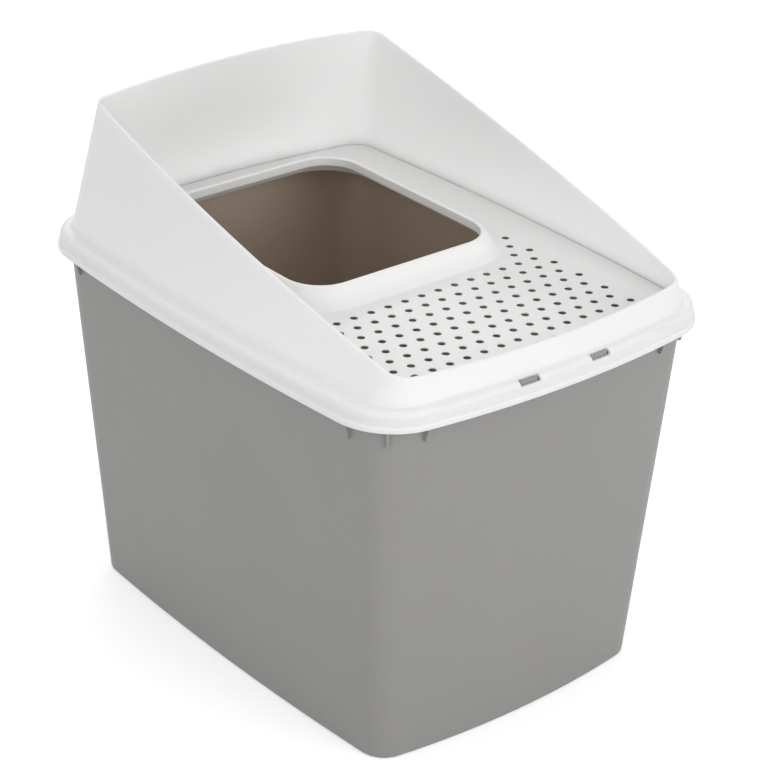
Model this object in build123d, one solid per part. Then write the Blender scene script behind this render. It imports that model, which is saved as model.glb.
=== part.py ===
"""Top entry litter box: a tapered tub, a perforated step deck with an entry collar, and a sloping hood.

Millimetres. X runs across the box, the low front faces -Y and Z points up. The origin is on the floor,
under the middle of the box. Three thin mouldings are stacked: the hood's ledge lies on the deck's flange,
and the deck's flange lies on the tub's rim.
"""

from build123d import *
from collections import namedtuple
import math
import os

# ---- Driving dimensions -------------------------------------------------------------------------

# Tub: outer outline at the floor and at the rim. A bow is how far the middle of a side stands out.
TUB_HEIGHT = 357.9
FLOOR_HALF_X = 160.9
FLOOR_HALF_Y = 225.7
FLOOR_CORNER = 26.5
FLOOR_BOW_X = 8.1
FLOOR_BOW_Y = 13.4
RIM_HALF_X = 189.2
RIM_HALF_Y = 247.4
RIM_CORNER = 36.2
RIM_BOW_X = 9.0
RIM_BOW_Y = 16.6
TUB_WALL = 2.5
TUB_FLOOR = 3.0
BOTTOM_ROUND = 4.0
FOOT_RING_WIDTH = 16.0
FOOT_RECESS = 1.5

# Tub rim: a flange turned out under the lid, with its edge turned down, braced at the corners.
RIM_FLANGE = 2.5
RIM_LIP_DROP = 7.0
RIM_LIP_WALL = 2.0
GUSSET_DROP = 31.5
GUSSET_WALL = 2.6
GUSSET_TOE = 3.0
GUSSET_FAN_X = 55.0
GUSSET_FAN_Y = 51.0
GUSSETS_PER_CORNER = 3

# Catches: short lugs on the rim that stand in windows in the hood's shoulder, front and back.
CATCH_SPACING = 80.0
LUG_WIDTH = 18.0
LUG_HEIGHT = 4.2
LUG_DEPTH = 2.6
LUG_ROUND = 1.8
LUG_SETBACK = 0.3
WINDOW_SIDE_GAP = 2.0
WINDOW_HEIGHT = 5.0
WINDOW_LAND = 0.8
WINDOW_ROUND = 1.5

# Hood: skirt that overhangs the rim, with a wider band along its lower edge, and a rounded shoulder.
HOOD_WALL = 3.0
SKIRT_WALL = 2.2
SKIRT_HEIGHT = 17.4
SKIRT_OVERHANG_X = 12.8
SKIRT_OVERHANG_Y = 15.5
SKIRT_CORNER = 59.6
SKIRT_BOW_X = 10.9
SKIRT_BOW_Y = 18.2
BAND_HEIGHT = 5.1
BAND_STEP = 2.1
BAND_ROUND = 2.0
SHOULDER_ROUND = 5.5
SHOULDER_INNER_ROUND = 3.5

# Hood wall: outline at its foot on the ledge, and outline of its sloping upper edge.
LEDGE_SIDE = 18.4
LEDGE_FRONT = 11.0
LEDGE_BACK = 18.3
FOOT_FRONT_CORNER = 42.0
FOOT_BACK_CORNER = 24.0
FOOT_BOW_X = 8.5
FOOT_BOW_Y = 14.8
FOOT_FILLET = 3.0
SIDE_LEAN = 12.4
FRONT_LEAN = 6.0
BACK_LEAN = 46.8
FRONT_WALL_HEIGHT = 20.0
BACK_WALL_HEIGHT = 129.8
BACK_CROWN = 11.6
FRONT_CROWN = 0.8
TOP_FRONT_CORNER = 20.0
TOP_BACK_CORNER = 12.0
TOP_BOW_X = 8.5
TOP_FRONT_BOW = 13.2
TOP_BACK_BOW = 1.0
EDGE_CHAMFER = 0.9

# The wall is lofted past its upper edge by this factor, then trimmed to the crowned edge.
WALL_REACH = 1.1

# Deck: flange between rim and hood, raised plate, locating rib inside the tub.
DECK_WALL = 2.2
DECK_RISE = 3.2
FLANGE_SETBACK = 11.2
DECK_GAP = 0.8
RIB_DROP = 6.0
RIB_WALL = 2.0
RIB_GAP = 0.8

# Entry opening in the deck, with its raised collar.
OPENING_HALF_X = 106.0
OPENING_HALF_Y = 118.9
OPENING_SETBACK = 57.5
OPENING_CORNER = 35.0
COLLAR_HEIGHT = 18.0
COLLAR_WIDTH = 17.5
COLLAR_CREST = 4.0
COLLAR_LIP = 8.2
COLLAR_LIP_WALL = 2.5
COLLAR_FOOT_FILLET = 3.0
CREST_ROUND = 3.0
MOUTH_ROUND = 1.2

# Perforations: staggered rows, counted from the front, that leave out the collar.
HOLE_DIAMETER = 7.0
HOLE_PITCH = 19.0
HOLE_ROWS = 12
HOLES_IN_FRONT_ROW = 14
FRONT_MARGIN = 33.2
HOLE_LAND = 6.5
HOLE_SIDES = 10

# Clearance between the tub's rim and the inside of the skirt.
RIM_GAP = 0.6

# ---- Levels that follow from the stack ----------------------------------------------------------

FLANGE_TOP = TUB_HEIGHT + DECK_WALL
LEDGE_TOP = FLANGE_TOP + HOOD_WALL
SKIRT_BOTTOM = LEDGE_TOP - SKIRT_HEIGHT
DECK_TOP = FLANGE_TOP + DECK_RISE
CREST = DECK_TOP + COLLAR_HEIGHT

# Faces nearer than this lie at the same level.
SAME_LEVEL = 0.01

# ---- Outlines -----------------------------------------------------------------------------------

Outline = namedtuple("Outline", "half_x front back corner_front corner_back bow_x bow_front bow_back")


def even_outline(half_x, half_y, corner, bow_x, bow_y):
    """An outline that is the same at the front and at the back."""
    return Outline(half_x, half_y, half_y, corner, corner, bow_x, bow_y, bow_y)


def grown(line, amount):
    """The same outline, set out (or in) by an even amount all round."""
    return line._replace(
        half_x=line.half_x + amount,
        front=line.front + amount,
        back=line.back + amount,
        corner_front=line.corner_front + amount,
        corner_back=line.corner_back + amount,
    )


def between(start, end, share):
    """An outline part of the way from one outline to another."""
    return Outline(*(a + (b - a) * share for a, b in zip(start, end)))


def face_of(line):
    """A flat face with four bowed sides and rounded corners."""
    corner_x = line.half_x - line.bow_x
    corner_front = line.bow_front - line.front
    corner_back = line.back - line.bow_back
    middle = (line.back - line.front) / 2
    sides = [
        ThreePointArc((corner_x, corner_front), (line.half_x, middle), (corner_x, corner_back)),
        ThreePointArc((corner_x, corner_back), (0, line.back), (-corner_x, corner_back)),
        ThreePointArc((-corner_x, corner_back), (-line.half_x, middle), (-corner_x, corner_front)),
        ThreePointArc((-corner_x, corner_front), (0, -line.front), (corner_x, corner_front)),
    ]
    face = make_face(sides)
    face = fillet(face.vertices().filter_by(lambda v: v.Y < middle), line.corner_front)
    back_corners = face.vertices().sort_by(Axis.Y)[-2:]
    return fillet(back_corners, line.corner_back)


def prism(line, bottom, top):
    """The outline, raised straight from one level to another."""
    return extrude(Pos(0, 0, bottom) * face_of(line), top - bottom, dir=(0, 0, 1))


def flare(low_line, bottom, high_line, top):
    """Straight walls from an outline at one level to an outline at a higher one."""
    return loft([Pos(0, 0, bottom) * face_of(low_line), Pos(0, 0, top) * face_of(high_line)], ruled=True)


def inner_edges(shape, level):
    """The edges round the hole in a shape's flat face at a level."""
    level_faces = shape.faces().filter_by(Axis.Z).filter_by(lambda f: abs(f.center().Z - level) < SAME_LEVEL)
    return level_faces.sort_by(SortBy.AREA)[-1].inner_wires()[0].edges()


FLOOR_LINE = even_outline(FLOOR_HALF_X, FLOOR_HALF_Y, FLOOR_CORNER, FLOOR_BOW_X, FLOOR_BOW_Y)
RIM_LINE = even_outline(RIM_HALF_X, RIM_HALF_Y, RIM_CORNER, RIM_BOW_X, RIM_BOW_Y)
SKIRT_LINE = even_outline(
    RIM_HALF_X + SKIRT_OVERHANG_X,
    RIM_HALF_Y + SKIRT_OVERHANG_Y,
    SKIRT_CORNER,
    SKIRT_BOW_X,
    SKIRT_BOW_Y,
)
TIER_LINE = grown(SKIRT_LINE, -BAND_STEP)
TIER_INNER_LINE = grown(TIER_LINE, -SKIRT_WALL)
FLANGE_LINE = grown(TIER_INNER_LINE, -RIM_GAP)
WALL_FOOT = Outline(
    SKIRT_LINE.half_x - LEDGE_SIDE,
    SKIRT_LINE.front - LEDGE_FRONT,
    SKIRT_LINE.back - LEDGE_BACK,
    FOOT_FRONT_CORNER,
    FOOT_BACK_CORNER,
    FOOT_BOW_X,
    FOOT_BOW_Y,
    FOOT_BOW_Y,
)
PLATE_LINE = grown(WALL_FOOT, -HOOD_WALL - DECK_GAP)


def tub_line(level, inset=0.0):
    """The tub's outer outline at a level, set in by an amount."""
    return grown(between(FLOOR_LINE, RIM_LINE, level / TUB_HEIGHT), -inset)


def on_front(line, x):
    """The place on an outline's front side at a given x, turned to follow the side's bow."""
    reach = line.half_x - line.bow_x
    y = line.bow_front * (x / reach) ** 2 - line.front
    turn = math.degrees(math.atan(2 * line.bow_front * x / reach**2))
    return Pos(x, y, 0) * Rot(0, 0, turn)


def both_ends(shape):
    """A shape at the front of the box and its twin at the back."""
    return [shape, Rot(0, 0, 180) * shape]


# ---- Tub ----------------------------------------------------------------------------------------


def gussets():
    """Thin upright webs fanned round each corner under the flange, thinning out down the tub wall."""
    bottom = TUB_HEIGHT - GUSSET_DROP
    envelope = flare(tub_line(bottom, -GUSSET_TOE), bottom, FLANGE_LINE, TUB_HEIGHT - RIM_FLANGE / 2)
    centre_x = RIM_HALF_X - GUSSET_FAN_X
    centre_y = RIM_HALF_Y - GUSSET_FAN_Y
    length = GUSSET_FAN_X + SKIRT_OVERHANG_X
    web = Pos(length / 2, 0, TUB_HEIGHT - GUSSET_DROP / 2) * Box(length, GUSSET_WALL, GUSSET_DROP)
    webs = []
    for start in (0, 90, 180, 270):
        side_x = 1 if start in (0, 270) else -1
        side_y = 1 if start in (0, 90) else -1
        for index in range(GUSSETS_PER_CORNER):
            angle = start + 90.0 * index / (GUSSETS_PER_CORNER - 1)
            webs.append(envelope & Pos(side_x * centre_x, side_y * centre_y, 0) * Rot(0, 0, angle) * web)
    return webs


def lug(centre_x):
    """A catch on the rim's front edge, rounded on top so the skirt slides over it."""
    block = Box(LUG_WIDTH, LUG_DEPTH, LUG_HEIGHT + RIM_FLANGE / 2)
    block = fillet(block.edges().filter_by(Axis.X).group_by(Axis.Z)[-1].sort_by(Axis.Y)[0], LUG_ROUND)
    middle_z = TUB_HEIGHT + (LUG_HEIGHT - RIM_FLANGE / 2) / 2
    return on_front(FLANGE_LINE, centre_x) * Pos(0, LUG_SETBACK + LUG_DEPTH / 2, middle_z) * block


def litter_tub():
    """The open bin with its rim flange, turned-down lip, corner webs and catch lugs."""
    outside = flare(FLOOR_LINE, 0, RIM_LINE, TUB_HEIGHT)
    outside = fillet(outside.faces().sort_by(Axis.Z)[0].edges(), BOTTOM_ROUND)
    cavity_floor = FOOT_RECESS + TUB_FLOOR
    inside = flare(tub_line(cavity_floor, TUB_WALL), cavity_floor, tub_line(TUB_HEIGHT, TUB_WALL), TUB_HEIGHT)
    inside = fillet(inside.faces().sort_by(Axis.Z)[0].edges(), BOTTOM_ROUND - TUB_WALL)
    flange = prism(FLANGE_LINE, TUB_HEIGHT - RIM_FLANGE, TUB_HEIGHT)
    lip = prism(FLANGE_LINE, TUB_HEIGHT - RIM_LIP_DROP, TUB_HEIGHT)
    lip -= prism(grown(FLANGE_LINE, -RIM_LIP_WALL), TUB_HEIGHT - RIM_LIP_DROP, TUB_HEIGHT)
    lugs = both_ends(lug(CATCH_SPACING / 2)) + both_ends(lug(-CATCH_SPACING / 2))
    tub = outside + flange + lip + gussets() + lugs
    tub -= inside
    recess = prism(grown(FLOOR_LINE, -BOTTOM_ROUND - FOOT_RING_WIDTH), 0, FOOT_RECESS)
    return tub - recess


# ---- Deck ---------------------------------------------------------------------------------------


OPENING_CENTRE_Y = WALL_FOOT.back - OPENING_SETBACK - OPENING_HALF_Y


def opening_line(amount):
    """The entry opening's outline, set out by an amount, about its own centre."""
    return even_outline(OPENING_HALF_X + amount, OPENING_HALF_Y + amount, OPENING_CORNER + amount, 0, 0)


def opening_face(amount, level):
    """A flat face with the opening's outline, set out by an amount, at a level."""
    line = opening_line(amount)
    outline = RectangleRounded(2 * line.half_x, 2 * line.front, line.corner_front)
    return Pos(0, OPENING_CENTRE_Y, level) * outline


def clear_of_collar(x, y):
    """How far a point on the deck lies outside the collar's foot."""
    line = opening_line(COLLAR_WIDTH)
    beyond_x = abs(x) - (line.half_x - line.corner_front)
    beyond_y = abs(y - OPENING_CENTRE_Y) - (line.front - line.corner_front)
    if beyond_x > 0 and beyond_y > 0:
        return math.hypot(beyond_x, beyond_y) - line.corner_front
    return max(beyond_x, beyond_y) - line.corner_front


def hole_places():
    """Staggered rows, leaving out each hole that would cut into the collar."""
    places = []
    row_pitch = HOLE_PITCH * math.sqrt(3) / 2
    for row in range(HOLE_ROWS):
        count = HOLES_IN_FRONT_ROW + row % 2
        y = FRONT_MARGIN - PLATE_LINE.front + row * row_pitch
        for index in range(count):
            x = (index - (count - 1) / 2) * HOLE_PITCH
            if clear_of_collar(x, y) >= HOLE_LAND:
                places.append((x, y))
    return places


def with_collar(plate):
    """The deck plate with the raised collar on it, hollow below and open through the middle."""
    slope = math.atan2(COLLAR_HEIGHT, COLLAR_WIDTH - COLLAR_CREST)
    across = DECK_WALL / math.sin(slope)
    run = (COLLAR_WIDTH - COLLAR_CREST) / COLLAR_HEIGHT
    deck = plate + loft([opening_face(COLLAR_WIDTH, DECK_TOP), opening_face(COLLAR_CREST, CREST)], ruled=True)
    deck = fillet(inner_edges(deck, DECK_TOP), COLLAR_FOOT_FILLET)
    hollow_low = COLLAR_WIDTH - across + DECK_WALL * run
    hollow_top = COLLAR_CREST - across + DECK_WALL * run
    deck -= loft(
        [opening_face(hollow_low, DECK_TOP - DECK_WALL), opening_face(hollow_top, CREST - DECK_WALL)],
        ruled=True,
    )
    lip_bottom = CREST - COLLAR_LIP
    deck += extrude(opening_face(COLLAR_LIP_WALL, lip_bottom), COLLAR_LIP - DECK_WALL / 2)
    deck -= extrude(opening_face(0, DECK_TOP), 2 * COLLAR_HEIGHT)
    deck = fillet(deck.faces().sort_by(Axis.Z)[-1].outer_wire().edges(), CREST_ROUND)
    return fillet(inner_edges(deck, CREST), MOUTH_ROUND)


def step_deck():
    """The platform that the animal steps on: flange, raised plate, collar, locating rib and perforations."""
    draft = math.degrees(math.atan2(BACK_LEAN, BACK_WALL_HEIGHT))
    flange = prism(grown(SKIRT_LINE, -FLANGE_SETBACK), TUB_HEIGHT, FLANGE_TOP)
    plate = extrude(Pos(0, 0, FLANGE_TOP) * face_of(PLATE_LINE), DECK_RISE, dir=(0, 0, 1), taper=draft)
    under_line = grown(PLATE_LINE, -DECK_WALL)
    under = extrude(Pos(0, 0, TUB_HEIGHT) * face_of(under_line), DECK_RISE, dir=(0, 0, 1), taper=draft)
    rib_bottom = TUB_HEIGHT - RIB_DROP
    rib_inset = TUB_WALL + RIB_GAP
    rib = flare(tub_line(rib_bottom, rib_inset), rib_bottom, tub_line(TUB_HEIGHT, rib_inset), TUB_HEIGHT)
    rib_inner = rib_inset + RIB_WALL
    rib -= flare(tub_line(rib_bottom, rib_inner), rib_bottom, tub_line(TUB_HEIGHT, rib_inner), TUB_HEIGHT)
    deck = with_collar(flange + plate - under) + rib
    hole = RegularPolygon(HOLE_DIAMETER / 2, HOLE_SIDES, major_radius=False)
    punch = extrude(hole, DECK_RISE + DECK_WALL, both=True)
    return deck - [Pos(x, y, DECK_TOP) * punch for x, y in hole_places()]


# ---- Hood ---------------------------------------------------------------------------------------


def sloping_face(thickness, reach):
    """The outline of the wall's upper edge in its sloping plane, at a share of the wall's full height."""
    front_y = -(WALL_FOOT.front - FRONT_LEAN * reach)
    back_y = WALL_FOOT.back - BACK_LEAN * reach
    front_z = LEDGE_TOP + FRONT_WALL_HEIGHT * reach
    back_z = LEDGE_TOP + BACK_WALL_HEIGHT * reach
    half_length = math.hypot(back_y - front_y, back_z - front_z) / 2
    tilt = math.degrees(math.atan2(back_z - front_z, back_y - front_y))
    line = Outline(
        WALL_FOOT.half_x - SIDE_LEAN * reach,
        half_length,
        half_length,
        TOP_FRONT_CORNER,
        TOP_BACK_CORNER,
        TOP_BOW_X,
        TOP_FRONT_BOW,
        TOP_BACK_BOW,
    )
    face = face_of(grown(line, -thickness))
    return Pos(0, (front_y + back_y) / 2, (front_z + back_z) / 2) * Rot(tilt, 0, 0) * face


def wall_body(thickness):
    """The leaning wall as a solid, from the ledge's underside to past its upper edge."""
    foot = Pos(0, 0, FLANGE_TOP) * face_of(grown(WALL_FOOT, -thickness))
    return loft([foot, sloping_face(thickness, WALL_REACH)], ruled=True)


def space_above_edge():
    """Everything over the wall's upper edge: nearly flat at the front, crowned across the back."""
    front_y = -WALL_FOOT.front + FRONT_LEAN
    back_y = WALL_FOOT.back - BACK_LEAN
    front_z = LEDGE_TOP + FRONT_WALL_HEIGHT
    back_z = LEDGE_TOP + BACK_WALL_HEIGHT
    half_x = WALL_FOOT.half_x - SIDE_LEAN
    far_x = SKIRT_LINE.half_x
    high = back_z + BACK_WALL_HEIGHT
    sections = []
    for y in (-SKIRT_LINE.front, SKIRT_LINE.back):
        share = (y - front_y) / (back_y - front_y)
        crown = FRONT_CROWN + (BACK_CROWN - FRONT_CROWN) * share
        level = front_z + (back_z - front_z) * share
        side = level - crown * ((far_x / half_x) ** 2 - 1)
        arc = ThreePointArc((-far_x, y, side), (0, y, level + crown), (far_x, y, side))
        roof = Polyline((far_x, y, side), (far_x, y, high), (-far_x, y, high), (-far_x, y, side))
        sections.append(make_face([arc, roof]))
    return loft(sections, ruled=True)


def window(centre_x):
    """A slot through the front shoulder, a little wider than the lug that stands in it."""
    width = LUG_WIDTH + 2 * WINDOW_SIDE_GAP
    depth = 2 * (LUG_SETBACK + LUG_DEPTH + WINDOW_LAND + RIM_GAP + SKIRT_WALL)
    slot = Pos(0, 0, LEDGE_TOP) * Box(width, depth, 2 * WINDOW_HEIGHT)
    slot = fillet(slot.edges().filter_by(Axis.Y), WINDOW_ROUND)
    return on_front(TIER_LINE, centre_x) * slot


def surround_hood():
    """The leaning wall on its ledge, with the rounded shoulder, the stepped skirt and the windows."""
    band = prism(SKIRT_LINE, SKIRT_BOTTOM, SKIRT_BOTTOM + BAND_HEIGHT)
    band = fillet(band.faces().sort_by(Axis.Z)[-1].edges(), BAND_ROUND)
    tier = prism(TIER_LINE, SKIRT_BOTTOM, LEDGE_TOP)
    tier = fillet(tier.faces().sort_by(Axis.Z)[-1].edges(), SHOULDER_ROUND)
    hood = band + tier + wall_body(0)
    hood = fillet(inner_edges(hood, LEDGE_TOP), FOOT_FILLET)
    under = prism(TIER_INNER_LINE, SKIRT_BOTTOM, FLANGE_TOP)
    hood -= fillet(under.faces().sort_by(Axis.Z)[-1].edges(), SHOULDER_INNER_ROUND)
    hood -= prism(grown(SKIRT_LINE, -SKIRT_WALL), SKIRT_BOTTOM, SKIRT_BOTTOM + BAND_HEIGHT - SKIRT_WALL)
    hood -= wall_body(HOOD_WALL)
    hood -= space_above_edge()
    upper_edge = hood.faces().filter_by(lambda f: f.center().Z > CREST).sort_by(lambda f: f.normal_at().Z)[-1]
    hood = chamfer(upper_edge.edges(), EDGE_CHAMFER)
    for centre_x in (CATCH_SPACING / 2, -CATCH_SPACING / 2):
        hood -= both_ends(window(centre_x))
    return hood


def main():
    os.makedirs("parts", exist_ok=True)
    export_step(litter_tub(), "parts/litter_tub.step")
    export_step(step_deck(), "parts/step_deck.step")
    export_step(surround_hood(), "parts/surround_hood.step")


main()
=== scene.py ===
# %% [markdown]
# # A top entry litter box, dressed for a product picture
# The box is three thin plastic mouldings: a grey tub that holds the litter, a white perforated deck with a
# collar round the cat's way in, and a white hood that keeps flung litter inside. Their solids come from the
# construction model. This lesson gives them their finishes, re-cuts the deck's perforations with Geometry
# Nodes, and sets up a pale studio. Lengths are metres, and the low front of the box faces -Y.

import math

import bmesh
import bpy
from mathutils import Matrix, Vector


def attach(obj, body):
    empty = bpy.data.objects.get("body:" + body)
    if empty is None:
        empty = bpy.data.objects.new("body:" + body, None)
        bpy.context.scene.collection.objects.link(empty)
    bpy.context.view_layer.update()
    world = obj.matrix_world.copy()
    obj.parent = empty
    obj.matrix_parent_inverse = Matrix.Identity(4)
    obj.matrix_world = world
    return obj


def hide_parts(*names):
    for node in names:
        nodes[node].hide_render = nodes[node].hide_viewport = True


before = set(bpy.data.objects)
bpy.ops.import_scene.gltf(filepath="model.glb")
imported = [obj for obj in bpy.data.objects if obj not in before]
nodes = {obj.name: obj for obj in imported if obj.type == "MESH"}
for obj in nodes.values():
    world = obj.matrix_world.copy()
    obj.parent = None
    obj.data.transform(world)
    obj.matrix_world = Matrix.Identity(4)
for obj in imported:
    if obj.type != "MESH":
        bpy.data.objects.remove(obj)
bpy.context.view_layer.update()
MM = 0.001
print("pieces from the construction model:", sorted(nodes))

# %% [markdown]
# ## Where the camera stands
# A long lens from well back keeps upright walls nearly upright, as product pictures do. The camera could be
# aimed with a Track To constraint, but that can't roll it. So its place, heading, height angle and roll are
# turned into three axes, which are the columns of the camera's matrix.

# %% Camera
LENS_MM = 119.9
SENSOR_MM = 36.0
CAMERA_PLACE = Vector((-1.361, -1.634, 1.3331))
HEADING = math.radians(-40.373)
LOOK_DOWN = math.radians(27.360)
ROLL = math.radians(1.763)


def camera_matrix(place, heading, look_down, roll):
    """Columns right, up and back of a camera that looks along heading, tipped down and rolled."""
    flat = math.cos(look_down)
    back = Vector((flat * math.sin(heading), -flat * math.cos(heading), math.sin(look_down)))
    right = Vector((math.cos(heading), math.sin(heading), 0))
    up = back.cross(right)
    rolled_right = math.cos(roll) * right + math.sin(roll) * up
    rolled_up = math.cos(roll) * up - math.sin(roll) * right
    axes = Matrix((rolled_right, rolled_up, back)).transposed()
    return Matrix.Translation(place) @ axes.to_4x4()


lens = bpy.data.cameras.new("product_camera")
lens.lens = LENS_MM
lens.sensor_width = SENSOR_MM
lens.sensor_fit = "HORIZONTAL"
camera = bpy.data.objects.new("product_camera", lens)
bpy.context.scene.collection.objects.link(camera)
camera.matrix_world = camera_matrix(CAMERA_PLACE, HEADING, LOOK_DOWN, ROLL)
bpy.context.scene.camera = camera
print("camera looks along", [round(v, 3) for v in -camera.matrix_world.col[2].xyz])

# %% [markdown]
# ## Small helpers for materials
# Every node tree below is a few nodes and the wires between them. One helper adds a node with its settings,
# one sets its inputs by name, and another adds a Math node, so that a cell reads as a list of steps.

# %% Node helpers


def add_node(tree, kind, **settings):
    """A node in the tree with its properties set."""
    node = tree.nodes.new(kind)
    for name, value in settings.items():
        setattr(node, name, value)
    return node


def feed(tree, source, target):
    """Wires a socket to a socket, or sets the target to a constant."""
    if isinstance(source, bpy.types.NodeSocket):
        tree.links.new(source, target)
    else:
        target.default_value = source


def preset(node, **values):
    """The node, with unlinked inputs set by their names; an underscore stands for a space."""
    for label, value in values.items():
        node.inputs[label.replace("_", " ")].default_value = value
    return node


def calculate(tree, operation, first, second=0.0, third=0.0):
    """The output of a Math node."""
    node = add_node(tree, "ShaderNodeMath", operation=operation)
    for source, target in zip((first, second, third), node.inputs):
        feed(tree, source, target)
    return node.outputs[0]


def new_group(name, kind, inputs, outputs):
    """An empty node group with named inputs and outputs; an input is (name, socket type, value)."""
    group = bpy.data.node_groups.new(name, kind)
    for label, socket, value in inputs:
        made = group.interface.new_socket(label, in_out="INPUT", socket_type=socket)
        if value is not None:
            made.default_value = value
    for label, socket in outputs:
        group.interface.new_socket(label, in_out="OUTPUT", socket_type=socket)
    return group, add_node(group, "NodeGroupInput"), add_node(group, "NodeGroupOutput")


def between_colours(tree, share, first, second):
    """The output of a Mix node set to colours."""
    node = add_node(tree, "ShaderNodeMix", data_type="RGBA")
    feed(tree, share, node.inputs["Factor"])
    colours = [socket for socket in node.inputs if socket.type == "RGBA"]
    feed(tree, first, colours[0])
    feed(tree, second, colours[1])
    return next(socket for socket in node.outputs if socket.type == "RGBA")


print("node helpers are ready")

# %% [markdown]
# ## The skin of a moulding
# Polypropylene leaves a spark-eroded steel tool with a very fine orange-peel grain, and cools with faint
# cloudy differences in gloss. Both plastics have this skin, at different grain sizes, so it is a node group:
# it puts out a height for a Bump node, and two cloud masks that vary slowly over the surface.

# %% Moulded skin group
PIT_SHARE = 0.6
STREAK_STRETCH = (1.0, 1.0, 0.12)

skin, skin_in, skin_out = new_group(
    "moulded_skin",
    "ShaderNodeTree",
    [
        ("Grains Per Metre", "NodeSocketFloat", 900.0),
        ("Clouds Per Metre", "NodeSocketFloat", 6.0),
    ],
    [
        ("Height", "NodeSocketFloat"),
        ("Cloud", "NodeSocketFloat"),
        ("Streak", "NodeSocketFloat"),
    ],
)
skin_place = add_node(skin, "ShaderNodeTexCoord").outputs["Object"]
peel = preset(add_node(skin, "ShaderNodeTexNoise"), Detail=3.0, Roughness=0.6)
feed(skin, skin_place, peel.inputs["Vector"])
feed(skin, skin_in.outputs["Grains Per Metre"], peel.inputs["Scale"])
pits = preset(add_node(skin, "ShaderNodeTexVoronoi", feature="SMOOTH_F1"), Smoothness=0.6)
feed(skin, skin_place, pits.inputs["Vector"])
feed(skin, skin_in.outputs["Grains Per Metre"], pits.inputs["Scale"])
grain = calculate(skin, "MULTIPLY_ADD", pits.outputs["Distance"], PIT_SHARE, peel.outputs["Fac"])
feed(skin, grain, skin_out.inputs["Height"])
cloud = preset(add_node(skin, "ShaderNodeTexNoise"), Detail=4.0)
feed(skin, skin_place, cloud.inputs["Vector"])
feed(skin, skin_in.outputs["Clouds Per Metre"], cloud.inputs["Scale"])
feed(skin, cloud.outputs["Fac"], skin_out.inputs["Cloud"])
stretched = preset(add_node(skin, "ShaderNodeMapping"), Scale=STREAK_STRETCH)
feed(skin, skin_place, stretched.inputs["Vector"])
streak = preset(add_node(skin, "ShaderNodeTexNoise"), Scale=45.0, Detail=2.0)
feed(skin, stretched.outputs["Vector"], streak.inputs["Vector"])
feed(skin, streak.outputs["Fac"], skin_out.inputs["Streak"])
print("group", skin.name, "with", len(skin.nodes), "nodes")

# %% [markdown]
# ## Which side of a wall is this?
# A thin wall has an outside, which the studio lights, and an inside, which mostly sees its own plastic. The
# two could be split by hand into two slots, but the normal tells them apart: on the outside it points away
# from the box's middle, and on the inside towards it. The group compares the two directions across the floor
# plan, and gives 0 outside and 1 inside. The webs at the corners stand upright, while the inner walls lean
# back a little and so face slightly up: that keeps the webs out. On the inner floor the group gives 1. The
# tub's finish paints warm bounce light where the group gives 1.

# %% Inner wall group
ACROSS = (1.0, 1.0, 0.0)
LEAN = 0.03
FACING_UP = 0.5
FLOOR_REACH = 20 * MM

inner, inner_in, inner_out = new_group(
    "inner_wall",
    "ShaderNodeTree",
    [("Softness", "NodeSocketFloat", 0.25)],
    [("Inner", "NodeSocketFloat")],
)
inner_coords = add_node(inner, "ShaderNodeTexCoord")


def flattened(tree, vector):
    """The part of a vector that lies across the floor plan."""
    node = add_node(tree, "ShaderNodeVectorMath", operation="MULTIPLY")
    feed(tree, vector, node.inputs[0])
    node.inputs[1].default_value = ACROSS
    return node.outputs["Vector"]


outwards = add_node(inner, "ShaderNodeVectorMath", operation="NORMALIZE")
feed(inner, flattened(inner, inner_coords.outputs["Object"]), outwards.inputs[0])
facing = add_node(inner, "ShaderNodeVectorMath", operation="DOT_PRODUCT")
feed(inner, outwards.outputs["Vector"], facing.inputs[0])
feed(inner, flattened(inner, inner_coords.outputs["Normal"]), facing.inputs[1])
inward = calculate(inner, "MULTIPLY", facing.outputs["Value"], -1.0)
ramp = preset(add_node(inner, "ShaderNodeMapRange", interpolation_type="SMOOTHSTEP"), From_Min=0.0)
feed(inner, inward, ramp.inputs["Value"])
feed(inner, inner_in.outputs["Softness"], ramp.inputs["From Max"])
inner_place = add_node(inner, "ShaderNodeSeparateXYZ")
feed(inner, inner_coords.outputs["Object"], inner_place.inputs[0])
inner_normal = add_node(inner, "ShaderNodeSeparateXYZ")
feed(inner, inner_coords.outputs["Normal"], inner_normal.inputs[0])
leaning = calculate(inner, "GREATER_THAN", inner_normal.outputs["Z"], LEAN)
low = calculate(inner, "LESS_THAN", inner_place.outputs["Z"], FLOOR_REACH)
faces_up = calculate(inner, "GREATER_THAN", inner_normal.outputs["Z"], FACING_UP)
bottom = calculate(inner, "MULTIPLY", low, faces_up)
walls_inner = calculate(inner, "MULTIPLY", ramp.outputs["Result"], leaning)
feed(inner, calculate(inner, "MAXIMUM", walls_inner, bottom), inner_out.inputs["Inner"])
print("group", inner.name, "with", len(inner.nodes), "nodes")

# %% [markdown]
# ## Two regions in each plastic, for painted light and shade
# The tub's inside, which the group above tells apart, has painted warm bounce light. In the lid, the hood's
# thin walls and the deck's collar have light on both sides and are painted a shade paler, while the shoulder,
# the skirt and the deck lie over the darker tub and are painted a shade darker; height alone tells them apart.
# Each function puts out the mask between its two regions.

# %% Region masks
FREE_WALL_FROM = 365 * MM
FREE_WALL_FULL = 376 * MM


def free_walls(tree):
    """0 on the deck, the shoulder and the skirt, which get painted shade, and 1 on the walls and the collar
    that stand above them, which get painted light.
    """
    place = add_node(tree, "ShaderNodeSeparateXYZ")
    feed(tree, add_node(tree, "ShaderNodeTexCoord").outputs["Object"], place.inputs[0])
    rise = add_node(tree, "ShaderNodeMapRange", interpolation_type="SMOOTHSTEP")
    feed(tree, place.outputs["Z"], rise.inputs["Value"])
    preset(rise, From_Min=FREE_WALL_FROM, From_Max=FREE_WALL_FULL)
    return rise.outputs["Result"]


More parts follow.
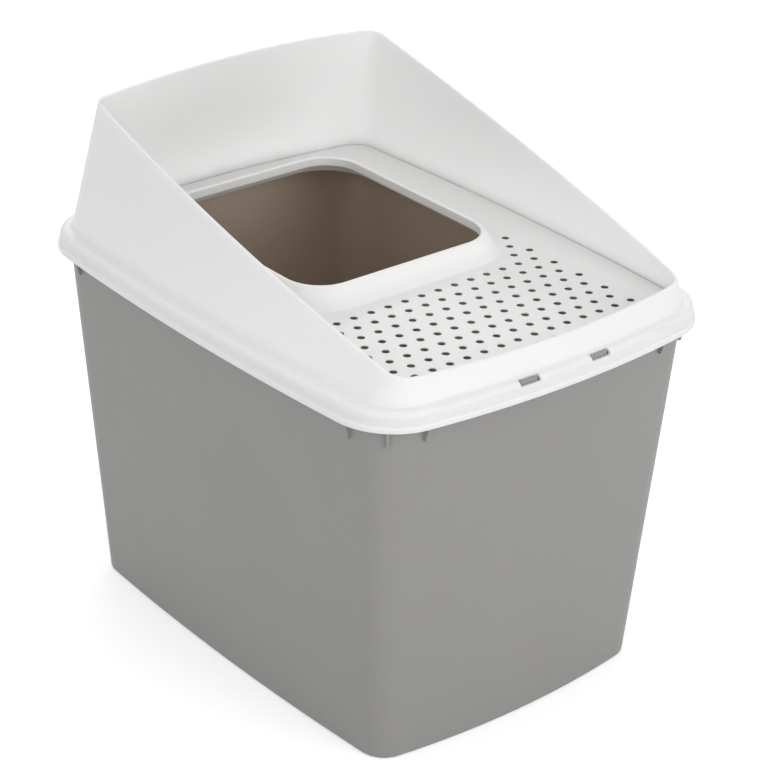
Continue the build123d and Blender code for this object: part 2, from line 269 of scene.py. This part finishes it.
def tub_inside(tree):
    """0 on the tub's outside and 1 on its inside, where warm bounce light is painted."""
    return add_node(tree, "ShaderNodeGroup", node_tree=inner).outputs["Inner"]


print("masks:", free_walls.__name__, "and", tub_inside.__name__)

# %% [markdown]
# ## The plastics
# All are the same resin with a different masterbatch, so one function makes them. A region has its colour, in
# which light and shade are painted, and its share of light that wanders inside the wall, which is what makes
# white polypropylene milky. The deck backs on the dark tub, so it has little of that, and the same all over.
# The colour and the gloss drift a little with the clouds and streaks, and the grain goes to a Bump node.

# %% Plastic finish
BUMP_METRES = 0.00012
MILKY_REACH = (1.0, 0.95, 0.9)
MILKY_DEPTH = 10 * MM
POLYPROPYLENE_IOR = 1.49
BLACK = (0.0, 0.0, 0.0, 1.0)


def moulded_plastic(name, regions, colours, milky, roughness, gloss_drift, tone_drift, grains, bump):
    """A moulded polypropylene finish with two colours for its two regions, and two milky shares or one."""
    material = bpy.data.materials.new(name)
    material.use_nodes = True
    tree = material.node_tree
    tree.nodes.clear()
    surface = add_node(tree, "ShaderNodeBsdfPrincipled")
    output = add_node(tree, "ShaderNodeOutputMaterial")
    feed(tree, surface.outputs["BSDF"], output.inputs["Surface"])
    moulded = preset(add_node(tree, "ShaderNodeGroup", node_tree=skin), Grains_Per_Metre=grains)
    mask = regions(tree)
    colour = between_colours(tree, mask, *colours)
    darker = calculate(tree, "MULTIPLY", moulded.outputs["Cloud"], tone_drift)
    feed(tree, between_colours(tree, darker, colour, BLACK), surface.inputs["Base Color"])
    mixed = calculate(tree, "ADD", moulded.outputs["Cloud"], moulded.outputs["Streak"])
    drift = calculate(tree, "MULTIPLY_ADD", mixed, gloss_drift, roughness - gloss_drift)
    feed(tree, drift, surface.inputs["Roughness"])
    preset(surface, IOR=POLYPROPYLENE_IOR)
    if milky:
        preset(surface, Subsurface_Radius=MILKY_REACH, Subsurface_Scale=MILKY_DEPTH)
        share = milky[0]
        if len(milky) > 1:
            share = calculate(tree, "MULTIPLY_ADD", mask, milky[1] - milky[0], milky[0])
        feed(tree, share, surface.inputs["Subsurface Weight"])
    relief = preset(add_node(tree, "ShaderNodeBump"), Strength=bump, Distance=BUMP_METRES)
    feed(tree, moulded.outputs["Height"], relief.inputs["Height"])
    feed(tree, relief.outputs["Normal"], surface.inputs["Normal"])
    return material


WHITE_SKIN = {"roughness": 0.42, "gloss_drift": 0.06, "tone_drift": 0.02, "grains": 1100.0, "bump": 0.25}

hood_plastic = moulded_plastic(
    "hood_white_polypropylene",
    regions=free_walls,
    # The first colour is painted shade where the hood lies over the tub, the second painted light on its free
    # walls.
    colours=((0.93, 0.93, 0.923, 1.0), (0.96, 0.96, 0.952, 1.0)),
    milky=(0.35, 1.0),
    **WHITE_SKIN,
)
deck_plastic = moulded_plastic(
    "deck_white_polypropylene",
    regions=free_walls,
    # The first colour is painted shade on the deck over the tub, the second painted light on the collar.
    colours=((0.89, 0.89, 0.883, 1.0), (0.955, 0.955, 0.947, 1.0)),
    milky=(0.1,),
    **WHITE_SKIN,
)
grey_plastic = moulded_plastic(
    "grey_polypropylene",
    regions=tub_inside,
    # The inside colour, paler and warmer than the grey, is painted bounce light.
    colours=((0.309, 0.304, 0.295, 1.0), (0.63, 0.52, 0.42, 1.0)),
    milky=(),
    roughness=0.5,
    gloss_drift=0.08,
    tone_drift=0.05,
    grains=900.0,
    bump=0.45,
)
print("finishes:", hood_plastic.name, deck_plastic.name, "and", grey_plastic.name)

# %% [markdown]
# ## Tub and hood
# The construction model has these two shapes as they are, with their flanges, webs, windows and rounded
# shoulder. They keep their meshes and only take a finish in their material slots.

# %% Finishes on the mouldings


def dress(piece, material):
    """Puts one material in every slot of a piece."""
    if not piece.material_slots:
        piece.data.materials.append(material)
    for place in piece.material_slots:
        place.material = material


dress(nodes["litter_tub"], grey_plastic)
dress(nodes["surround_hood"], hood_plastic)
print("dressed the tub and the hood")

# %% [markdown]
# ## The deck, made whole
# The construction model drills the deck with flat-sided holes, which keeps its mesh light. A real moulding has
# round perforations, and a relief under each one so that litter drops clear. To cut those, a copy of the deck
# is first made whole: it is welded, the old holes' walls are deleted, and the rims that this opens are filled.
# The step round its edge also moves out a little, so that it sits snug in the foot of the hood's wall.

# %% Whole deck
WELD = 0.002 * MM
UPRIGHT = 0.05
DECK_TOP = 363.3 * MM
DECK_WALL = 2.2 * MM
DECK_STEP = 3.2 * MM
SNUG = 0.68 * MM


def whole_deck(source):
    """The deck's mesh, welded, with its drilled holes filled."""
    shape = bmesh.new()
    shape.from_mesh(source)
    bmesh.ops.remove_doubles(shape, verts=shape.verts, dist=WELD)
    levels = (DECK_TOP - DECK_WALL, DECK_TOP)
    walls = [
        face
        for face in shape.faces
        if abs(face.normal.z) < UPRIGHT and levels[0] < face.calc_center_median().z < levels[1]
    ]
    bmesh.ops.delete(shape, geom=walls, context="FACES")
    rims = [edge for edge in shape.edges if edge.is_boundary]
    filled = bmesh.ops.holes_fill(shape, edges=rims, sides=0)["faces"]
    bmesh.ops.recalc_face_normals(shape, faces=shape.faces)
    rise = {
        vert
        for face in shape.faces
        if abs(face.normal.z) < UPRIGHT and levels[1] - DECK_STEP < face.calc_center_median().z < levels[1]
        for vert in face.verts
    }
    for vert in rise:
        vert.co += SNUG * Vector((vert.normal.x, vert.normal.y, 0.0)).normalized()
    mesh = bpy.data.meshes.new("whole_deck")
    shape.to_mesh(mesh)
    open_edges = sum(not edge.is_manifold for edge in shape.edges)
    shape.free()
    rims_per_hole = 2
    holes = len(filled) // rims_per_hole
    print("filled", holes, "holes;", open_edges, "open edges left;", len(rise), "corners moved out")
    return mesh


deck_mesh = whole_deck(nodes["step_deck"].data)

# %% [markdown]
# ## Where the perforations go
# The holes stand on a grid whose every second row is moved over by half a pitch, so that each hole has six
# equal neighbours. They could be placed in a Python loop, but a Geometry Nodes tree keeps the pattern's sizes
# as named inputs. The first part of the tree makes the points: a grid, moved into staggered rows on the deck.

# %% Perforation tree: the staggered points
ROW_RATIO = math.sqrt(3) / 2
perforate, sizes_in, cut_out = new_group(
    "perforate_deck",
    "GeometryNodeTree",
    [
        ("Geometry", "NodeSocketGeometry", None),
        ("Pitch", "NodeSocketFloat", 19 * MM),
        ("Rows", "NodeSocketInt", 12),
        ("Holes In Row", "NodeSocketInt", 15),
        ("First Row Y", "NodeSocketFloat", -214.9 * MM),
        ("Deck Top", "NodeSocketFloat", DECK_TOP),
        ("Deck Wall", "NodeSocketFloat", DECK_WALL),
        ("Hole Radius", "NodeSocketFloat", 3.5 * MM),
        ("Relief Radius", "NodeSocketFloat", 6.0 * MM),
        ("Land Depth", "NodeSocketFloat", 0.8 * MM),
        ("Lead In", "NodeSocketFloat", 0.25 * MM),
        ("Collar Half", "NodeSocketVector", (123.5 * MM, 136.4 * MM, 0.0)),
        ("Collar Middle", "NodeSocketVector", (0.0, 68.2 * MM, 0.0)),
        ("Collar Corner", "NodeSocketFloat", 52.5 * MM),
        ("Collar Land", "NodeSocketFloat", 6.5 * MM),
        ("Finish", "NodeSocketMaterial", None),
    ],
    [("Geometry", "NodeSocketGeometry")],
)
size = sizes_in.outputs


def on(kind, **settings):
    """A node in the perforation tree."""
    return add_node(perforate, kind, **settings)


def reckon(operation, *terms):
    """A sum in the perforation tree."""
    return calculate(perforate, operation, *terms)


def split(vector):
    """The three parts of a vector."""
    node = on("ShaderNodeSeparateXYZ")
    feed(perforate, vector, node.inputs[0])
    return node.outputs


def joined(x, y, z):
    """A vector from three parts."""
    node = on("ShaderNodeCombineXYZ")
    for part, socket in zip((x, y, z), node.inputs):
        feed(perforate, part, socket)
    return node.outputs[0]


def moved(geometry, position=None, offset=None):
    """The geometry with its points put at a position, or moved by an offset."""
    node = on("GeometryNodeSetPosition")
    feed(perforate, geometry, node.inputs["Geometry"])
    if position is not None:
        feed(perforate, position, node.inputs["Position"])
    if offset is not None:
        feed(perforate, offset, node.inputs["Offset"])
    return node.outputs["Geometry"]


row_pitch = reckon("MULTIPLY", size["Pitch"], ROW_RATIO)
across = reckon("MULTIPLY", size["Pitch"], reckon("SUBTRACT", size["Holes In Row"], 1.0))
along = reckon("MULTIPLY", row_pitch, reckon("SUBTRACT", size["Rows"], 1.0))
grid = on("GeometryNodeMeshGrid")
grid_sizes = {
    "Size X": across,
    "Size Y": along,
    "Vertices X": size["Holes In Row"],
    "Vertices Y": size["Rows"],
}
for label, source in grid_sizes.items():
    feed(perforate, source, grid.inputs[label])
from_front = reckon("MULTIPLY_ADD", along, 0.5, split(on("GeometryNodeInputPosition").outputs[0])["Y"])
row = reckon("ROUND", reckon("DIVIDE", from_front, row_pitch))
even_row = reckon("SUBTRACT", 1.0, reckon("FLOORED_MODULO", row, 2.0))
half_step = reckon("MULTIPLY", even_row, reckon("MULTIPLY", size["Pitch"], 0.5))
to_deck = joined(half_step, reckon("MULTIPLY_ADD", along, 0.5, size["First Row Y"]), size["Deck Top"])
staggered = moved(grid.outputs["Mesh"], offset=to_deck)
print("tree has", len(perforate.nodes), "nodes so far")

# %% [markdown]
# ## Keeping the collar clear
# A hole that would cut into the raised collar is left out, and so is the one that the half step pushes past
# the end of a row, by more than the end slack, a quarter of the pitch. The distance to the collar is that to a
# rounded rectangle: how far a point lies beyond the rectangle's straight parts on each axis, joined as a
# length, less the corner radius.

# %% Perforation tree: the points that stay
END_SLACK = 0.25
NOWHERE = (0.0, 0.0, 0.0)
here = on("GeometryNodeInputPosition").outputs[0]


def combine(operation, first, second=None):
    """A vector sum in the perforation tree."""
    node = on("ShaderNodeVectorMath", operation=operation)
    feed(perforate, first, node.inputs[0])
    if second is not None:
        feed(perforate, second, node.inputs[1])
    return node.outputs["Value"] if operation == "LENGTH" else node.outputs["Vector"]


straight = combine("SUBTRACT", size["Collar Half"], joined(size["Collar Corner"], size["Collar Corner"], 0.0))
from_middle = combine("ABSOLUTE", combine("SUBTRACT", here, size["Collar Middle"]))
beyond = split(combine("MAXIMUM", combine("SUBTRACT", from_middle, straight), NOWHERE))
reach = combine("LENGTH", joined(beyond["X"], beyond["Y"], 0.0))
near = reckon("LESS_THAN", reckon("SUBTRACT", reach, size["Collar Corner"]), size["Collar Land"])
row_end = reckon("MULTIPLY_ADD", across, 0.5, reckon("MULTIPLY", size["Pitch"], END_SLACK))
past_end = reckon("GREATER_THAN", split(here)["X"], row_end)
left_out = on("GeometryNodeDeleteGeometry", domain="POINT")
feed(perforate, staggered, left_out.inputs["Geometry"])
feed(perforate, reckon("MAXIMUM", near, past_end), left_out.inputs["Selection"])
print("tree has", len(perforate.nodes), "nodes so far")

# %% [markdown]
# ## The punch
# One punch has the shape of the hole: a wide relief from below, a thin land at the true radius, and a slight
# lead-in at the top, where the mould's edge is eased. It is a cylinder with six rings of points, and each ring
# is sent to its own height and radius by an Index Switch, which picks a value by the ring's number. Heights
# count from the deck's top, and the punch's foot lies two wall thicknesses down, clear of the underside.

# %% Perforation tree: the punch
PUNCH_SIDES = 28
PUNCH_RINGS = 6
PUNCH_FOOT = -2.0


def by_ring(ring, values):
    """The value that belongs to each ring of the punch."""
    node = on("GeometryNodeIndexSwitch", data_type="FLOAT")
    while len(node.index_switch_items) < len(values):
        node.index_switch_items.new()
    feed(perforate, ring, node.inputs["Index"])
    for number, value in enumerate(values):
        feed(perforate, value, node.inputs[str(number)])
    return node.outputs[0]


blank = on("GeometryNodeMeshCylinder", fill_type="NGON")
preset(blank, Vertices=PUNCH_SIDES, Side_Segments=PUNCH_RINGS - 1, Radius=1.0, Depth=PUNCH_RINGS - 1.0)
corner = split(on("GeometryNodeInputPosition").outputs[0])
ring = reckon("ROUND", reckon("ADD", corner["Z"], (PUNCH_RINGS - 1) / 2))
below_land = reckon("MULTIPLY", size["Land Depth"], -1.0)
lead_depth = reckon("MULTIPLY", size["Lead In"], -1.0)
mouth_radius = reckon("ADD", size["Hole Radius"], size["Lead In"])
clear_below = reckon("MULTIPLY", size["Deck Wall"], PUNCH_FOOT)
heights = (clear_below, below_land, below_land, lead_depth, 0.0, size["Deck Wall"])
radii = (
    size["Relief Radius"],
    size["Relief Radius"],
    size["Hole Radius"],
    size["Hole Radius"],
    mouth_radius,
    mouth_radius,
)
ring_radius = by_ring(ring, radii)
shaped = joined(
    reckon("MULTIPLY", corner["X"], ring_radius),
    reckon("MULTIPLY", corner["Y"], ring_radius),
    by_ring(ring, heights),
)
punch = moved(blank.outputs["Mesh"], position=shaped)
print("punch of", PUNCH_SIDES, "sides and", PUNCH_RINGS, "rings")

# %% [markdown]
# ## Cutting
# The punch is instanced on every point and taken from the deck by an exact Mesh Boolean. The tree ends with
# Realize Instances and Set Material, so that it hands over one plain mesh.

# %% Perforation tree: the cut
stamped = on("GeometryNodeInstanceOnPoints")
feed(perforate, left_out.outputs["Geometry"], stamped.inputs["Points"])
feed(perforate, punch, stamped.inputs["Instance"])
cut = on("GeometryNodeMeshBoolean", operation="DIFFERENCE", solver="EXACT")
feed(perforate, size["Geometry"], cut.inputs["Mesh 1"])
feed(perforate, stamped.outputs["Instances"], cut.inputs["Mesh 2"])
realized = on("GeometryNodeRealizeInstances")
feed(perforate, cut.outputs["Mesh"], realized.inputs["Geometry"])
finished = on("GeometryNodeSetMaterial")
feed(perforate, realized.outputs["Geometry"], finished.inputs["Geometry"])
feed(perforate, size["Finish"], finished.inputs["Material"])
feed(perforate, finished.outputs["Geometry"], cut_out.inputs["Geometry"])
print("tree", perforate.name, "has", len(perforate.nodes), "nodes")

# %% [markdown]
# ## The perforated deck
# The tree could stay live as a modifier, but a plain mesh is easier to hand on. The modifier's inputs are set
# by their identifiers, the evaluated result becomes the piece's own mesh, and the modifier is taken off. The
# deck is shaded smooth up to a crease angle, and its level faces flat, because long cut faces mottle otherwise.

# %% Perforated deck
CREASE = math.radians(32)
LEVEL = 0.9999


def run_tree(piece, tree, values):
    """Runs a Geometry Nodes tree on a piece and keeps the result as its mesh."""
    modifier = piece.modifiers.new(tree.name, "NODES")
    modifier.node_group = tree
    for socket in tree.interface.items_tree:
        if socket.in_out == "INPUT" and socket.name in values:
            modifier[socket.identifier] = values[socket.name]
    graph = bpy.context.evaluated_depsgraph_get()
    result = bpy.data.meshes.new_from_object(piece.evaluated_get(graph), depsgraph=graph)
    piece.modifiers.remove(modifier)
    piece.data = result
    result.materials.clear()
    result.materials.append(values["Finish"])
    result.shade_smooth()
    result.set_sharp_from_angle(angle=CREASE)
    for face in result.polygons:
        if abs(face.normal.z) > LEVEL:
            face.use_smooth = False
    return result


perforated_deck = bpy.data.objects.new("perforated_deck", deck_mesh)
bpy.context.scene.collection.objects.link(perforated_deck)
cut_mesh = run_tree(perforated_deck, perforate, {"Finish": deck_plastic})
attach(perforated_deck, "deck")
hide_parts("step_deck")
print("perforated deck:", len(cut_mesh.polygons), "faces, finish", cut_mesh.materials[0].name)

# %% [markdown]
# ## The studio
# A pale floor and a white world light the box from all round, and large soft lamps model it. The floor would
# look grey where less light falls on it, so for rays that come from the camera, and for mirrored and
# transmitted ones, it gives a little light of its own. That shows in reflections, and adds no other light to
# the box.

# %% Floor
FLOOR_HALF = 6.0
FLOOR_TONE = (0.8, 0.8, 0.8, 1.0)
FLOOR_GLOW = 0.48
FLOOR_SIGNS = ((-1, -1), (1, -1), (1, 1), (-1, 1))

floor_mesh = bpy.data.meshes.new("studio_floor")
floor_corners = [(x * FLOOR_HALF, y * FLOOR_HALF, 0.0) for x, y in FLOOR_SIGNS]
floor_mesh.from_pydata(floor_corners, [], [range(len(floor_corners))])
studio_floor = bpy.data.objects.new("studio_floor", floor_mesh)
bpy.context.scene.collection.objects.link(studio_floor)


def seen_mask(tree):
    """1 for rays from the camera, and for mirrored and transmitted rays, else 0."""
    path = add_node(tree, "ShaderNodeLightPath")
    glossy = calculate(tree, "MAXIMUM", path.outputs["Is Camera Ray"], path.outputs["Is Glossy Ray"])
    return calculate(tree, "MAXIMUM", glossy, path.outputs["Is Transmission Ray"])


floor_paint = bpy.data.materials.new("studio_floor_paint")
floor_paint.use_nodes = True
floor_tree = floor_paint.node_tree
floor_tree.nodes.clear()
paint = preset(add_node(floor_tree, "ShaderNodeBsdfDiffuse"), Color=FLOOR_TONE)
glow = add_node(floor_tree, "ShaderNodeEmission")
feed(floor_tree, calculate(floor_tree, "MULTIPLY", seen_mask(floor_tree), FLOOR_GLOW), glow.inputs["Strength"])
both = add_node(floor_tree, "ShaderNodeAddShader")
feed(floor_tree, paint.outputs["BSDF"], both.inputs[0])
feed(floor_tree, glow.outputs["Emission"], both.inputs[1])
floor_end = add_node(floor_tree, "ShaderNodeOutputMaterial")
feed(floor_tree, both.outputs["Shader"], floor_end.inputs["Surface"])
floor_mesh.materials.append(floor_paint)
print("floor is", 2 * FLOOR_HALF, "m square")

# %% [markdown]
# ## The studio's walls
# The world stands for the walls round the box. It could be one flat white, but milky walls show best with
# light behind them, so its strength has an even part and a part that grows towards the back. To the camera,
# and in reflections, it is plain white.

# %% World
EVEN_LIGHT = 0.50
BEHIND_LIGHT = 0.40
WHITE = (1.0, 1.0, 1.0, 1.0)

world = bpy.data.worlds.new("studio_walls")
bpy.context.scene.world = world
world.use_nodes = True
world_tree = world.node_tree
world_tree.nodes.clear()
backdrop = preset(add_node(world_tree, "ShaderNodeBackground"), Color=WHITE)
direction = add_node(world_tree, "ShaderNodeSeparateXYZ")
feed(world_tree, add_node(world_tree, "ShaderNodeTexCoord").outputs["Generated"], direction.inputs[0])
behind = calculate(world_tree, "MAXIMUM", direction.outputs["Y"], 0.0)
walls = calculate(world_tree, "MULTIPLY_ADD", behind, BEHIND_LIGHT, EVEN_LIGHT)
seen = seen_mask(world_tree)
unseen_part = calculate(world_tree, "MULTIPLY", walls, calculate(world_tree, "SUBTRACT", 1.0, seen))
feed(world_tree, calculate(world_tree, "ADD", unseen_part, seen), backdrop.inputs["Strength"])
world_end = add_node(world_tree, "ShaderNodeOutputWorld")
feed(world_tree, backdrop.outputs["Background"], world_end.inputs["Surface"])
print("studio walls at", EVEN_LIGHT, "and", EVEN_LIGHT + BEHIND_LIGHT, "behind")

# %% [markdown]
# ## Four softboxes
# A low lamp in front fills the hood and models the front corner, another lights the left side, and one hangs
# overhead. The fourth stands behind to the right: it shines through the hood's milky walls, which is why their
# inner faces look nearly as bright as the outer ones. Each is a large disk, so that no shadow has a hard edge.

# %% Softboxes
LAMP_SIZE = 1.6
LAMP_AIM = Vector((0.0, 0.0, 0.3))
SOFTBOXES = {
    "front_softbox": (Vector((0.4, -2.4, 1.2)), 18.0),
    "left_softbox": (Vector((-2.0, -1.2, 1.2)), 10.5),
    "overhead_softbox": (Vector((0.0, -0.3, 2.7)), 7.0),
    "rear_softbox": (Vector((1.6, 1.95, 1.05)), 14.0),
}

for name, (place, watts) in SOFTBOXES.items():
    light = bpy.data.lights.new(name, "AREA")
    light.shape = "DISK"
    light.size = LAMP_SIZE
    light.energy = watts
    lamp = bpy.data.objects.new(name, light)
    bpy.context.scene.collection.objects.link(lamp)
    lamp.location = place
    lamp.rotation_euler = (LAMP_AIM - place).to_track_quat("-Z", "Y").to_euler()
bpy.context.scene.view_settings.view_transform = "Standard"
print("softboxes:", ", ".join(SOFTBOXES))
